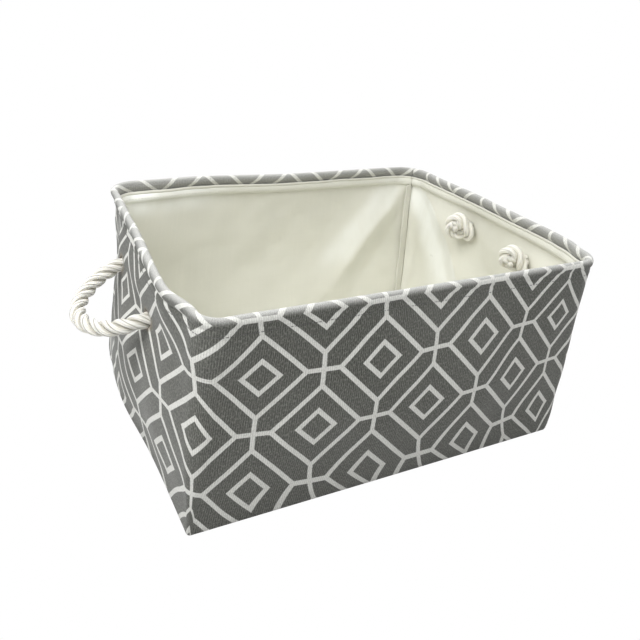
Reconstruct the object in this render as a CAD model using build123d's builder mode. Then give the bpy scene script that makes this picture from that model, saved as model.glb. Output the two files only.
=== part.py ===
from build123d import *
import os
from math import cos, pi, radians, sin, tan

# ---------------------------------------------------------------- driving dimensions, mm
height = 204.0  # floor to the top of the rim
rim_length, rim_depth, rim_corner = 400.0, 312.0, 28.0  # outside of the rim
mid_length, mid_depth, mid_corner, mid_z = 406.0, 310.0, 20.0, 86.0  # the soft walls belly out here
base_length, base_depth, base_corner = 398.0, 290.0, 12.0  # outside at the floor

cloth = 0.9  # printed wall cloth
lining = 0.5  # coated lining
layer_gap = 0.2  # air between cloth and lining

hem_z = 182.0  # the wall is upright from here to the rim
roll_radius = 3.4  # outside radius of the fold over the wire
roll_z = height - roll_radius  # centre of the fold
hem_pinch_z = 190.4  # the fold closes on the wall at the stitch line
hem_edge_z = 187.0  # turned-in raw edge
hem_depth = 2.2  # wall face to inside of the turned-in cloth at the stitch line
lining_top = 195.5  # the lining laps over the turned-in cloth up to here

wire_radius = 1.8
wire_gap = 1.0  # between the two wire ends
sleeve_radius, sleeve_bore, sleeve_length = 2.2, 1.9, 24.0

thread = 0.5
stitch_z = 189.2

allowance = 1.6  # two turned-in layers
allowance_height = 8.7
flap_width, flap_lean = 9.0, 35.0  # corner seam, standing off the back-right corner
flap_low, flap_high = 12.0, 180.0

rope = 14.2
hole_radius = 7.9
hole_spacing = 96.0
hole_z = 157.0
droop = 25.0  # the loop hangs this far below level
pivot_clearance = 0.8
knot_depth, knot_width = 30.0, 36.0

# ---------------------------------------------------------------- the wall's outline at any height
def outline(z, inset):
    """Length, depth and corner radius of the wall at height z, this far inside its outer face."""
    if z <= mid_z:
        k = z / mid_z
        length = base_length + k * (mid_length - base_length)
        depth = base_depth + k * (mid_depth - base_depth)
        corner = base_corner + k * (mid_corner - base_corner)
    else:
        k = min(1.0, (z - mid_z) / (hem_z - mid_z))
        length = mid_length + k * (rim_length - mid_length)
        depth = mid_depth + k * (rim_depth - mid_depth)
        corner = mid_corner + k * (rim_corner - mid_corner)
    return length - 2 * inset, depth - 2 * inset, corner - inset


wall_half = outline(hole_z, 0.0)[0] / 2  # outer face of the short wall at the rope holes
pivot_x = wall_half + rope / 2 + pivot_clearance
knot_x = wall_half - cloth - layer_gap - lining - 0.4 - knot_depth / 2

os.makedirs("parts", exist_ok=True)

# ---------------------------------------------------------------- wall cloth with its hem
with BuildPart() as wall_cloth:
    for z in (0.0, mid_z, hem_z):
        with BuildSketch(Plane.XY.offset(z)):
            RectangleRounded(*outline(z, 0.0))
    loft(ruled=True)
    for z in (0.0, mid_z, hem_z):
        with BuildSketch(Plane.XY.offset(z)):
            RectangleRounded(*outline(z, cloth))
    loft(ruled=True, mode=Mode.SUBTRACT)
    # The hem runs once round the rim, from the middle of the right side.
    half_l, half_d, r = rim_length / 2, rim_depth / 2, rim_corner
    with BuildLine(Plane.XY.offset(hem_z)) as hem_path:
        Line((half_l, 0), (half_l, half_d - r))
        RadiusArc((half_l, half_d - r), (half_l - r, half_d), -r)
        Line((half_l - r, half_d), (-half_l + r, half_d))
        RadiusArc((-half_l + r, half_d), (-half_l, half_d - r), -r)
        Line((-half_l, half_d - r), (-half_l, -half_d + r))
        RadiusArc((-half_l, -half_d + r), (-half_l + r, -half_d), -r)
        Line((-half_l + r, -half_d), (half_l - r, -half_d))
        RadiusArc((half_l - r, -half_d), (half_l, -half_d + r), -r)
        Line((half_l, -half_d + r), (half_l, 0))
    bore = roll_radius - cloth
    with BuildSketch(Plane.XZ) as hem_section:
        with BuildLine():
            Line((half_l, hem_z), (half_l, roll_z))
            ThreePointArc(
                (half_l, roll_z),
                (half_l - roll_radius, roll_z + roll_radius),
                (half_l - 2 * roll_radius, roll_z),
            )
            Polyline(
                (half_l - 2 * roll_radius, roll_z),
                (half_l - hem_depth, hem_pinch_z),
                (half_l - hem_depth, hem_edge_z),
                (half_l - hem_depth + cloth, hem_edge_z),
                (half_l - hem_depth + cloth, hem_pinch_z + 0.2),
                (half_l - 2 * roll_radius + cloth, roll_z),
            )
            ThreePointArc(
                (half_l - 2 * roll_radius + cloth, roll_z),
                (half_l - roll_radius, roll_z + bore),
                (half_l - cloth, roll_z),
            )
            Polyline(
                (half_l - cloth, roll_z), (half_l - cloth, hem_z), (half_l, hem_z)
            )
        make_face()
    sweep(path=hem_path.wire())
    # Plain punched rope holes.
    with Locations(
        *[
            (side * wall_half, side_y * hole_spacing / 2, hole_z)
            for side in (-1, 1)
            for side_y in (-1, 1)
        ]
    ):
        Cylinder(hole_radius, 12, rotation=(0, 90, 0), mode=Mode.SUBTRACT)
wall_cloth.part.label = "wall_cloth"
export_step(wall_cloth.part, "parts/wall_cloth.step")

# ---------------------------------------------------------------- wall lining, lapping over the turned-in hem at its top
lining_out = cloth + layer_gap
lining_in = lining_out + lining
lining_low = cloth + layer_gap
lap = hem_depth + layer_gap  # over the flat of the turned-in cloth
slope = (2 * roll_radius - hem_depth) / (roll_z - hem_pinch_z)  # of the fold above it
lining_levels = (
    (lining_low, lining_out),
    (mid_z, lining_out),
    (hem_z, lining_out),
    (hem_edge_z - 0.6, lap),
    (hem_pinch_z, lap + 0.1),
    (lining_top, lap + 0.1 + slope * (lining_top - hem_pinch_z)),
)
with BuildPart() as wall_lining:
    for z, inset in lining_levels:
        with BuildSketch(Plane.XY.offset(z)):
            RectangleRounded(*outline(z, inset))
    loft(ruled=True)
    for z, inset in lining_levels:
        with BuildSketch(Plane.XY.offset(z)):
            RectangleRounded(*outline(z, inset + lining))
    loft(ruled=True, mode=Mode.SUBTRACT)
    with Locations(
        *[
            (side * wall_half, side_y * hole_spacing / 2, hole_z)
            for side in (-1, 1)
            for side_y in (-1, 1)
        ]
    ):
        Cylinder(hole_radius, 12, rotation=(0, 90, 0), mode=Mode.SUBTRACT)
wall_lining.part.label = "wall_lining"
export_step(wall_lining.part, "parts/wall_lining.step")

# ---------------------------------------------------------------- bottom panel and its lining
with BuildPart() as base_cloth:
    with BuildSketch():
        RectangleRounded(*outline(0.0, cloth + layer_gap))
    extrude(amount=cloth)
base_cloth.part.label = "base_cloth"
export_step(base_cloth.part, "parts/base_cloth.step")

with BuildPart() as base_lining:
    with BuildSketch(Plane.XY.offset(lining_low)):
        RectangleRounded(*outline(lining_low, lining_in + layer_gap))
    extrude(amount=lining)
base_lining.part.label = "base_lining"
export_step(base_lining.part, "parts/base_lining.step")

# ---------------------------------------------------------------- rim wire hoop and the sleeve that closes it, at the middle of the back
wire_l, wire_d = rim_length / 2 - roll_radius, rim_depth / 2 - roll_radius
wire_r = rim_corner - roll_radius
with BuildPart() as rim_wire:
    with BuildLine(Plane.XY.offset(roll_z)) as hoop:
        Line((-wire_gap / 2, wire_d), (-wire_l + wire_r, wire_d))
        RadiusArc((-wire_l + wire_r, wire_d), (-wire_l, wire_d - wire_r), -wire_r)
        Line((-wire_l, wire_d - wire_r), (-wire_l, -wire_d + wire_r))
        RadiusArc((-wire_l, -wire_d + wire_r), (-wire_l + wire_r, -wire_d), -wire_r)
        Line((-wire_l + wire_r, -wire_d), (wire_l - wire_r, -wire_d))
        RadiusArc((wire_l - wire_r, -wire_d), (wire_l, -wire_d + wire_r), -wire_r)
        Line((wire_l, -wire_d + wire_r), (wire_l, wire_d - wire_r))
        RadiusArc((wire_l, wire_d - wire_r), (wire_l - wire_r, wire_d), -wire_r)
        Line((wire_l - wire_r, wire_d), (wire_gap / 2, wire_d))
    with BuildSketch(Plane(origin=(-wire_gap / 2, wire_d, roll_z), z_dir=(-1, 0, 0))):
        Circle(wire_radius)
    sweep(path=hoop.wire())
rim_wire.part.label = "rim_wire"
export_step(rim_wire.part, "parts/rim_wire.step")

with BuildPart() as rim_wire_sleeve:
    with BuildSketch(
        Plane(origin=(-sleeve_length / 2, wire_d, roll_z), z_dir=(1, 0, 0))
    ):
        Circle(sleeve_radius)
        Circle(sleeve_bore, mode=Mode.SUBTRACT)
    extrude(amount=sleeve_length)
rim_wire_sleeve.part.label = "rim_wire_sleeve"
export_step(rim_wire_sleeve.part, "parts/rim_wire_sleeve.step")

# ---------------------------------------------------------------- hem lockstitch: one thread outside, one inside
with BuildPart() as hem_stitching:
    for outside, inside in (
        (-0.1 - thread, -0.1),
        (lap + lining + 0.2, lap + lining + 0.2 + thread),
    ):
        with BuildSketch(Plane.XY.offset(stitch_z)):
            RectangleRounded(*outline(hem_z, outside))
            RectangleRounded(*outline(hem_z, inside), mode=Mode.SUBTRACT)
        extrude(amount=thread)
hem_stitching.part.label = "hem_stitching"
export_step(hem_stitching.part, "parts/hem_stitching.step")

# ---------------------------------------------------------------- corner seam: turned-in edges standing off the back-right corner
def flap_plane(z, aside):
    """Level plane at the root of the corner flap, its x pointing inwards along the flap."""
    length, depth, corner = outline(z, 0.0)
    reach = (corner - lining_in - 1.3) * sin(radians(45.0))
    root = Vector(length / 2 - corner + reach, depth / 2 - corner + reach, z)
    inwards = Vector(-cos(radians(flap_lean)), -sin(radians(flap_lean)), 0)
    return Plane(
        origin=root + inwards.cross(Vector(0, 0, 1)) * aside,
        x_dir=inwards,
        z_dir=(0, 0, 1),
    )


with BuildPart() as corner_seam_allowance:
    for z in (flap_low, mid_z, flap_high):
        with BuildSketch(flap_plane(z, 0.0)):
            Rectangle(flap_width, allowance, align=(Align.MIN, Align.CENTER))
    loft(ruled=True)
corner_seam_allowance.part.label = "corner_seam_allowance"
export_step(corner_seam_allowance.part, "parts/corner_seam_allowance.step")

with BuildPart() as corner_seam_stitching:
    for z in (flap_low, mid_z, flap_high):
        with BuildSketch(flap_plane(z, -allowance / 2 - 0.1 - thread / 2)):
            with Locations((2.2, 0)):
                Rectangle(thread, thread)
    loft(ruled=True)
corner_seam_stitching.part.label = "corner_seam_stitching"
export_step(corner_seam_stitching.part, "parts/corner_seam_stitching.step")

# ---------------------------------------------------------------- bottom seam: turned-in edges standing up inside, and their thread
edge_low = lining_low + lining + layer_gap
edge_high = edge_low + allowance_height
edge_out = lining_in + layer_gap
edge_in = edge_out + allowance
with BuildPart() as base_seam_allowance:
    for z in (edge_low, edge_high):
        with BuildSketch(Plane.XY.offset(z)):
            RectangleRounded(*outline(z, edge_out))
    loft(ruled=True)
    for z in (edge_low, edge_high):
        with BuildSketch(Plane.XY.offset(z)):
            RectangleRounded(*outline(z, edge_in))
    loft(ruled=True, mode=Mode.SUBTRACT)
base_seam_allowance.part.label = "base_seam_allowance"
export_step(base_seam_allowance.part, "parts/base_seam_allowance.step")

seam_z = 6.0
with BuildPart() as base_seam_stitching:
    with BuildSketch(Plane.XY.offset(seam_z)):
        RectangleRounded(*outline(seam_z, edge_in + 0.15))
        RectangleRounded(*outline(seam_z, edge_in + 0.15 + thread), mode=Mode.SUBTRACT)
    extrude(amount=thread)
base_seam_stitching.part.label = "base_seam_stitching"
export_step(base_seam_stitching.part, "parts/base_seam_stitching.step")

# ---------------------------------------------------------------- rope loops
# The loop leaves each hole leaning 15 degrees inwards and turns 30 degrees at each point.
# Across is measured along the wall from the middle of the loop, out from the pivot line.
run_long, run_short = 27.0, 22.7
route, heading, at = [], 15.0, (hole_spacing / 2, 0.0)
route.append(at)
for run in (run_long, run_long, run_short, run_short, run_long, run_long):
    at = (at[0] - run * sin(radians(heading)), at[1] + run * cos(radians(heading)))
    route.append(at)
    heading += 30.0
route[-1] = (-hole_spacing / 2, 0.0)
route_vectors = [Vector(*p) for p in route]
runs = [b - a for a, b in zip(route_vectors, route_vectors[1:])]
radii = [
    0.45 * min(a.length, b.length) / tan(radians(a.get_angle(b) / 2))
    for a, b in zip(runs, runs[1:])
]
print("rope loop radii", [round(v, 1) for v in radii])


def handle_plane(side):
    """Plane of the loop: its x runs along the wall, its y out from the pivot line."""
    out = Vector(side * cos(radians(droop)), 0, -sin(radians(droop)))
    along = Vector(0, -side, 0)
    return Plane(
        origin=(side * pivot_x, 0, hole_z),
        x_dir=along,
        z_dir=along.cross(out),
    )


for name, side in (("left_handle_rope", -1), ("right_handle_rope", 1)):
    with BuildPart() as handle:
        with BuildLine(handle_plane(side)) as loop:
            FilletPolyline(*route, radius=radii)
        way = loop.wire()
        with BuildSketch(Plane(origin=way @ 0, z_dir=way % 0)):
            Circle(rope / 2)
        sweep(path=way)
        bare = handle.part.volume
        with Locations(way @ 0, way @ 1):
            Sphere(rope / 2 - 0.3)
    print(name, "length", round(way.length, 1), "volume over section x length", round(bare / (way.length * pi * rope**2 / 4), 4))
    handle.part.label = name
    export_step(handle.part, "parts/" + name + ".step")

# ---------------------------------------------------------------- knots inside, each with the rope that passes through its hole
for side, side_name in ((-1, "left"), (1, "right")):
    for end, end_name in ((-1, "front"), (1, "back")):
        y = end * hole_spacing / 2
        with BuildPart() as knot:
            # Half section above the hole's axis: rounded lump, then the rope as far as the outer face.
            with BuildSketch(Plane.XZ.offset(-y)):
                with BuildLine():
                    tip = (side * (knot_x - knot_depth / 2), hole_z)
                    crown = (side * knot_x, hole_z + knot_width / 2)
                    neck = (side * (knot_x + 0.467 * knot_depth), hole_z + rope / 2 - 0.1)
                    ThreePointArc(
                        tip,
                        (side * (knot_x - 0.354 * knot_depth), hole_z + 0.354 * knot_width),
                        crown,
                    )
                    ThreePointArc(
                        crown,
                        (side * (knot_x + 0.285 * knot_depth), hole_z + 0.411 * knot_width),
                        neck,
                    )
                    Polyline(
                        neck,
                        (side * wall_half, hole_z + rope / 2 - 0.1),
                        (side * wall_half, hole_z),
                        tip,
                    )
                make_face()
            revolve(axis=Axis((side * knot_x, y, hole_z), (1, 0, 0)))
        name = side_name + "_" + end_name + "_knot"
        knot.part.label = name
        export_step(knot.part, "parts/" + name + ".step")
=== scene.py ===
import math

import bpy
import numpy as np
from mathutils import Matrix, Vector


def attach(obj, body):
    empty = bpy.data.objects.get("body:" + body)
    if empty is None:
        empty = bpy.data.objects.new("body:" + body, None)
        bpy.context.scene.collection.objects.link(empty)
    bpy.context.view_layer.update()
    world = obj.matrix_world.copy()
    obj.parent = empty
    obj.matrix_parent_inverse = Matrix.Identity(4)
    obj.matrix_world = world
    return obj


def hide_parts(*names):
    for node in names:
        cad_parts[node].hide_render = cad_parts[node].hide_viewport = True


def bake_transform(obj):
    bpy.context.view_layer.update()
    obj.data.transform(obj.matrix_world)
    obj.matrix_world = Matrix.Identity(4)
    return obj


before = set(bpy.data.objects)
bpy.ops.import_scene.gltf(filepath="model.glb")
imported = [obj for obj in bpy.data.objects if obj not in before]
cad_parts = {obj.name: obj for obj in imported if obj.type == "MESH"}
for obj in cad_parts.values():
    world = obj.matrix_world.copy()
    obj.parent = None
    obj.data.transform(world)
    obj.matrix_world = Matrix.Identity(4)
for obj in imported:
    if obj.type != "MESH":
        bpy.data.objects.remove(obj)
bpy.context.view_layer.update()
scene = bpy.context.scene
MM = 0.001

# ---------------------------------------------------------------- sizes of the bin, mm
HEIGHT = 204.0
HEM = 182.0
MID = 86.0
RIM = (200.0, 156.0, 28.0)
BELLY = (203.0, 155.0, 20.0)
BASE = (199.0, 145.0, 12.0)
CLOTH = 0.9
LINING = 0.5
HOLE_Y, HOLE_Z, HOLE_R = 48.0, 157.0, 7.0
HOLES = {("left", -1): (-51.0, 152.5), ("left", 1): (48.0, 158.0), ("right", -1): (-48.0, 157.0), ("right", 1): (48.0, 157.0)}
WALL_X = 200.78
ROPE = 14.2
PIVOT_X = WALL_X + ROPE / 2 + 0.8

# ---------------------------------------------------------------- camera
camera_data = bpy.data.cameras.new("camera")
camera = bpy.data.objects.new("camera", camera_data)
scene.collection.objects.link(camera)
right = Vector((0.88269772, -0.45977457, 0.09722182))
up = Vector((0.09259595, 0.37298684, 0.92320464))
ahead = Vector((0.46072847, 0.80590829, -0.37180790))
camera.matrix_world = Matrix(
    (
        (right.x, up.x, -ahead.x, -0.34630),
        (right.y, up.y, -ahead.y, -0.56549),
        (right.z, up.z, -ahead.z, 0.45460),
        (0, 0, 0, 1),
    )
)
camera_data.sensor_width = 36.0
camera_data.lens = 40.086
camera_data.shift_y = -0.14103
camera_data.clip_start, camera_data.clip_end = 0.01, 20.0
scene.camera = camera


# ---------------------------------------------------------------- helpers
def smooth(a, b, x):
    t = np.clip((np.asarray(x, float) - a) / (b - a), 0, 1)
    return t * t * (3 - 2 * t)


def bell(x, centre, width):
    return np.exp(-(((np.asarray(x, float) - centre) / width) ** 2))


def soft_noise(x, y, scale, seed):
    """Smooth noise in -1..1 over the plane, one bump about every scale."""
    grid = np.random.default_rng(seed).uniform(-1, 1, (64, 64))
    x, y = np.asarray(x, float) / scale + 1000, np.asarray(y, float) / scale + 1000
    xi, yi = np.floor(x).astype(int), np.floor(y).astype(int)
    fx, fy = x - xi, y - yi
    fx, fy = fx * fx * fx * (fx * (fx * 6 - 15) + 10), fy * fy * fy * (fy * (fy * 6 - 15) + 10)
    g = lambda a, b: grid[(xi + a) % 64, (yi + b) % 64]
    return (g(0, 0) * (1 - fx) + g(1, 0) * fx) * (1 - fy) + (g(0, 1) * (1 - fx) + g(1, 1) * fx) * fy


def mesh_object(name, points, faces, uvs=None, material=None, smooth_shade=True):
    mesh = bpy.data.meshes.new(name)
    mesh.from_pydata([tuple(p) for p in np.asarray(points, float)], [], [tuple(map(int, f)) for f in faces])
    loops = np.zeros(len(mesh.loops), np.int32)
    mesh.loops.foreach_get("vertex_index", loops)
    for layer, values in (uvs or {}).items():
        data = mesh.uv_layers.new(name=layer).data
        data.foreach_set("uv", np.asarray(values, np.float32)[loops].ravel())
    if smooth_shade:
        mesh.polygons.foreach_set("use_smooth", np.ones(len(mesh.polygons), bool))
    mesh.update()
    obj = bpy.data.objects.new(name, mesh)
    scene.collection.objects.link(obj)
    if material:
        mesh.materials.append(material)
    return obj


def thicken(obj, thickness, offset=-1.0, rim=True):
    mod = obj.modifiers.new("thickness", "SOLIDIFY")
    mod.thickness, mod.offset, mod.use_rim = thickness, offset, rim
    mod.use_even_offset = False
    return mod


def grid_faces(rows, cols, closed=False):
    faces = []
    for r in range(rows - 1):
        for c in range(cols if closed else cols - 1):
            d = (c + 1) % cols
            faces.append((r * cols + c, r * cols + d, (r + 1) * cols + d, (r + 1) * cols + c))
    return faces


# ---------------------------------------------------------------- the wall as columns round it and rows up it
# Columns run anticlockwise seen from above, from the seam in the back-right corner:
# back, back-left corner, left, front-left corner, front, front-right corner, right.
SECTIONS = (
    ("corner", 0, 0.5, 1.0, 8),
    ("side", "back", 0.0, 1.0, 120),
    ("corner", 1, 0.0, 1.0, 16),
    ("side", "left", 0.0, 1.0, 88),
    ("corner", 2, 0.0, 1.0, 16),
    ("side", "front", 0.0, 1.0, 120),
    ("corner", 3, 0.0, 1.0, 16),
    ("side", "right", 0.0, 1.0, 88),
    ("corner", 0, 0.0, 0.5, 8),
)
columns = []
for kind, which, low, high, count in SECTIONS:
    for k in range(count):
        columns.append((kind, which, low + (high - low) * k / count))
columns.append(("corner", 0, 0.5))
N_COL = len(columns)
kind_of = np.array([c[0] for c in columns])
which_of = [c[1] for c in columns]
share_of = np.array([c[2] for c in columns], float)


def size_at(z):
    """Half length, half depth and corner radius of the wall's outer face at height z."""
    z = np.clip(np.asarray(z, float), 0, HEM)
    out = []
    for b, m, r in zip(BASE, BELLY, RIM):
        lower = b + (m - b) * (z / MID)
        upper = m + (r - m) * ((z - MID) / (HEM - MID))
        k = smooth(MID - 40, MID + 40, z)
        out.append(lower * (1 - k) + upper * k)
    return out


CORNER_CENTRE = {0: (1, 1), 1: (-1, 1), 2: (-1, -1), 3: (1, -1)}
CORNER_START = {0: 0.0, 1: 90.0, 2: 180.0, 3: 270.0}
CORNER_ROUND = {0: 1.25, 1: 1.07, 2: 0.76, 3: 0.84}


def corner_radius(which, r, z):
    """Radius of one soft corner; the front-left one is a sharp fold at the foot."""
    share = CORNER_ROUND[which]
    if which == 2:
        share = 0.30 + (share - 0.30) * smooth(0, 70, z)
    return r * share


def corner_pull(which, z):
    """How far a corner of the soft wall stands out (or in, below zero) from the plain wall, mm."""
    if which == 1:
        return np.interp(z, (0, 17, 73, 127, 157, 185, 201), (0, 0, -6.0, -9.5, -8.8, -7.5, -3.0))
    if which == 3:
        return np.interp(z, (0, 8, 44, 95, 141, 185, 204), (0, 0, -3.0, -6.2, -4.0, -1.0, 0))
    return 0.0 * np.asarray(z, float)


def end_bow(f, z):
    """The soft end walls bow out between their corners, most at half height, mm; f runs from the back corner to the front one."""
    rise = smooth(-10, 85, z) * smooth(0, 25, z)
    fall = (1 - 0.52 * smooth(110, 165, z)) * (1 - 0.75 * smooth(168, 197, z))
    return 13.0 * math.sin(math.pi * f) ** 1.4 * rise * fall


def lift(col, z):
    """How far the soft rim sags (below zero) along its length, mm."""
    kind, which, f = columns[col]
    down = 0.0
    if which == "back":
        down = -4.0 * (1 - smooth(0.40, 0.85, f))
    elif kind == "corner" and which == 0:
        down = -4.0
    elif which == "right":
        down = -4.0 * smooth(0.55, 1.0, f)
    return down * smooth(60, 190, np.asarray(z, float))


def left_foot(f):
    """How far the foot of the left wall stands out along its length, mm."""
    return 6.0 * bell(f, 0.30, 0.24) * smooth(0.0, 0.12, f)


def bulge(col, z):
    """How far the soft cloth stands out from the plain wall, mm."""
    kind, which, f = columns[col]
    z = np.asarray(z, float)
    belly = np.sin(np.pi * np.clip(z / 190.0, 0, 1)) ** 0.9
    if kind == "corner":
        return corner_pull(which, z)
    low, high = {"back": (0, 1), "left": (1, 2), "front": (2, 3), "right": (3, 0)}[which]
    ends = corner_pull(low, z) * (1 - smooth(0.0, 0.30, f)) + corner_pull(high, z) * smooth(0.72, 1.0, f)
    if which == "front":
        return ends + 8.0 * math.sin(math.pi * f) ** 1.2 * belly
    if which == "back":
        return ends + 5.0 * math.sin(math.pi * f) * belly
    if which == "left":
        foot = left_foot(f) * (1 - smooth(20, 90, z))
        rim = 9.0 * smooth(0.3, 0.86, f) * (1 - smooth(0.84, 1.0, f)) * smooth(150, 192, z)
        return ends + foot + rim + end_bow(f, z)
    rim = 6.0 * smooth(0.0, 0.10, f) * (1 - smooth(0.16, 0.52, f)) * smooth(150, 192, z)
    return ends + rim + end_bow(1 - f, z)


def ripple(u, z):
    """Small unevenness shared by the cloth and its lining, mm."""
    fade = smooth(0, 30, z) * (1 - smooth(165, 186, z))
    big = 1.6 * soft_noise(u, z, 62, 3) + 0.8 * soft_noise(u, z * 0.6, 27, 5)
    return big * fade


def wall_point(col, z, n, extra=0.0):
    """Points of one column at heights z, n mm inside the outer face; returns x, y, z in mm."""
    kind, which, f = columns[col]
    z, n = np.asarray(z, float), np.asarray(n, float)
    hx, hy, r = size_at(z)
    out = bulge(col, z) + extra - n
    up = z + lift(col, z)
    r0, r1, r2, r3 = (corner_radius(k, r, z) for k in range(4))
    if kind == "corner":
        sx, sy = CORNER_CENTRE[which]
        rr = corner_radius(which, r, z)
        a = math.radians(CORNER_START[which] + 90.0 * f)
        reach = np.maximum(rr + out, 0.3)
        return sx * (hx - rr) + reach * math.cos(a), sy * (hy - rr) + reach * math.sin(a), up + 0 * n
    if which == "back":
        return (hx - r0) * (1 - f) - (hx - r1) * f + 0 * out, hy + out, up + 0 * n
    if which == "left":
        return -hx - out, (hy - r1) * (1 - f) - (hy - r2) * f + 0 * out, up + 0 * n
    if which == "front":
        return -(hx - r2) * (1 - f) + (hx - r3) * f + 0 * out, -hy - out, up + 0 * n
    return hx + out, -(hy - r3) * (1 - f) + (hy - r0) * f + 0 * out, up + 0 * n


# Distance round the wall, measured at mid height from the fold of the front-left corner.
ring = np.array([[float(v) for v in wall_point(c, np.array(150.0), np.array(0.0))] for c in range(N_COL)])
step = np.linalg.norm(np.diff(ring, axis=0), axis=1)
U = np.concatenate([[0], np.cumsum(step)])
front_left = next(i for i, c in enumerate(columns) if c[0] == "corner" and c[1] == 2 and c[2] >= 0.5)
U = U - U[front_left]


def sheet_grid(profile, own=None):
    """Grid of points over all columns for a profile of (z, n) rows; own(u, z) adds mm outwards."""
    z = np.array([p[0] for p in profile], float)
    n = np.array([p[1] for p in profile], float)
    points = np.zeros((len(z), N_COL, 3))
    for c in range(N_COL):
        extra = ripple(U[c], z)
        if own is not None:
            extra = extra + own(c, z)
        points[:, c, 0], points[:, c, 1], points[:, c, 2] = wall_point(c, z, n, extra)
    return points


def open_holes(points, flats, rows_z, radius):
    """Opens a round hole at each rope by spreading the rows and columns round it."""
    gone = set()
    rows = len(rows_z)
    for which, side in (("left", -1), ("right", 1)):
        cols = [i for i, c in enumerate(columns) if c[1] == which]
        for y, height in (HOLES[(which, -1)], HOLES[(which, 1)]):
            centre_row = int(np.argmin(np.abs(np.asarray(rows_z) - height)))
            centre_col = min(cols, key=lambda i: abs(points[centre_row, i, 1] - y))
            reach, core = 6, 2
            for dr in range(-reach, reach + 1):
                for dc in range(-reach, reach + 1):
                    ring_no = max(abs(dr), abs(dc))
                    r, c = centre_row + dr, centre_col + dc
                    if not (0 <= r < rows):
                        continue
                    if dr < core and dr >= -core and dc < core and dc >= -core:
                        gone.add((r, c))
                    if ring_no < core or ring_no == reach:
                        continue
                    old = points[r, c].copy()
                    v = np.array([old[1] - y, old[2] - height])
                    lead = np.array([dc * (1 if which == "right" else -1), dr], float)
                    lead /= np.linalg.norm(lead)
                    outer = np.linalg.norm(v)
                    t = (ring_no - core) / (reach - core)
                    round_to = lead * (radius + t * (reach * 3.0 - radius))
                    new = round_to * (1 - t) + v * t
                    points[r, c, 1], points[r, c, 2] = y + new[0], height + new[1]
                    along = (new[0] - v[0]) * (1 if which == "right" else -1)
                    flats[r, c] += (along, new[1] - v[1])
    return gone


# ---------------------------------------------------------------- materials
def new_material(name):
    mat = bpy.data.materials.new(name)
    mat.use_nodes = True
    tree = mat.node_tree
    shader = tree.nodes["Principled BSDF"]
    return mat, tree, shader


class Nodes:
    """Short ways to add nodes to one material."""

    def __init__(self, tree):
        self.tree = tree

    def add(self, kind, **settings):
        node = self.tree.nodes.new(kind)
        for key, value in settings.items():
            setattr(node, key, value)
        return node

    def join(self, a, b):
        self.tree.links.new(a, b)

    def put(self, socket, value):
        if hasattr(value, "links"):
            self.join(value, socket)
        else:
            socket.default_value = value

    def math(self, op, a, b=None, c=None, clamp=False):
        node = self.add("ShaderNodeMath", operation=op, use_clamp=clamp)
        for socket, value in zip(node.inputs, (a, b, c)):
            if value is not None:
                self.put(socket, value)
        return node.outputs[0]

    def uv(self, layer):
        return self.add("ShaderNodeUVMap", uv_map=layer).outputs[0]

    def split(self, vector):
        node = self.add("ShaderNodeSeparateXYZ")
        self.join(vector, node.inputs[0])
        return node.outputs

    def stretch(self, vector, scale):
        node = self.add("ShaderNodeVectorMath", operation="MULTIPLY")
        self.join(vector, node.inputs[0])
        node.inputs[1].default_value = scale
        return node.outputs[0]

    def noise(self, vector, scale, detail=2.0, rough=0.5, distortion=0.0):
        node = self.add("ShaderNodeTexNoise")
        self.join(vector, node.inputs["Vector"])
        node.inputs["Scale"].default_value = scale
        node.inputs["Detail"].default_value = detail
        node.inputs["Roughness"].default_value = rough
        node.inputs["Distortion"].default_value = distortion
        return node.outputs["Fac"]

    def remap(self, value, a, b, c, d, smoothly=False):
        node = self.add("ShaderNodeMapRange", interpolation_type="SMOOTHSTEP" if smoothly else "LINEAR")
        self.put(node.inputs["Value"], value)
        for key, number in zip(("From Min", "From Max", "To Min", "To Max"), (a, b, c, d)):
            self.put(node.inputs[key], number)
        return node.outputs["Result"]

    def mix(self, factor, a, b, blend="MIX"):
        node = self.add("ShaderNodeMix", data_type="RGBA", blend_type=blend)
        self.put(node.inputs["Factor"], factor)
        self.put(node.inputs["A"] if False else node.inputs[6], a)
        self.put(node.inputs[7], b)
        return node.outputs[2]

    def bump(self, height, strength, distance, normal=None):
        node = self.add("ShaderNodeBump")
        node.inputs["Strength"].default_value = strength
        node.inputs["Distance"].default_value = distance
        self.join(height, node.inputs["Height"])
        if normal is not None:
            self.join(normal, node.inputs["Normal"])
        return node.outputs[0]


# Half periods of the print along and up the cloth, mm.
PRINT_A, PRINT_B = 53.5, 53.0


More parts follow.
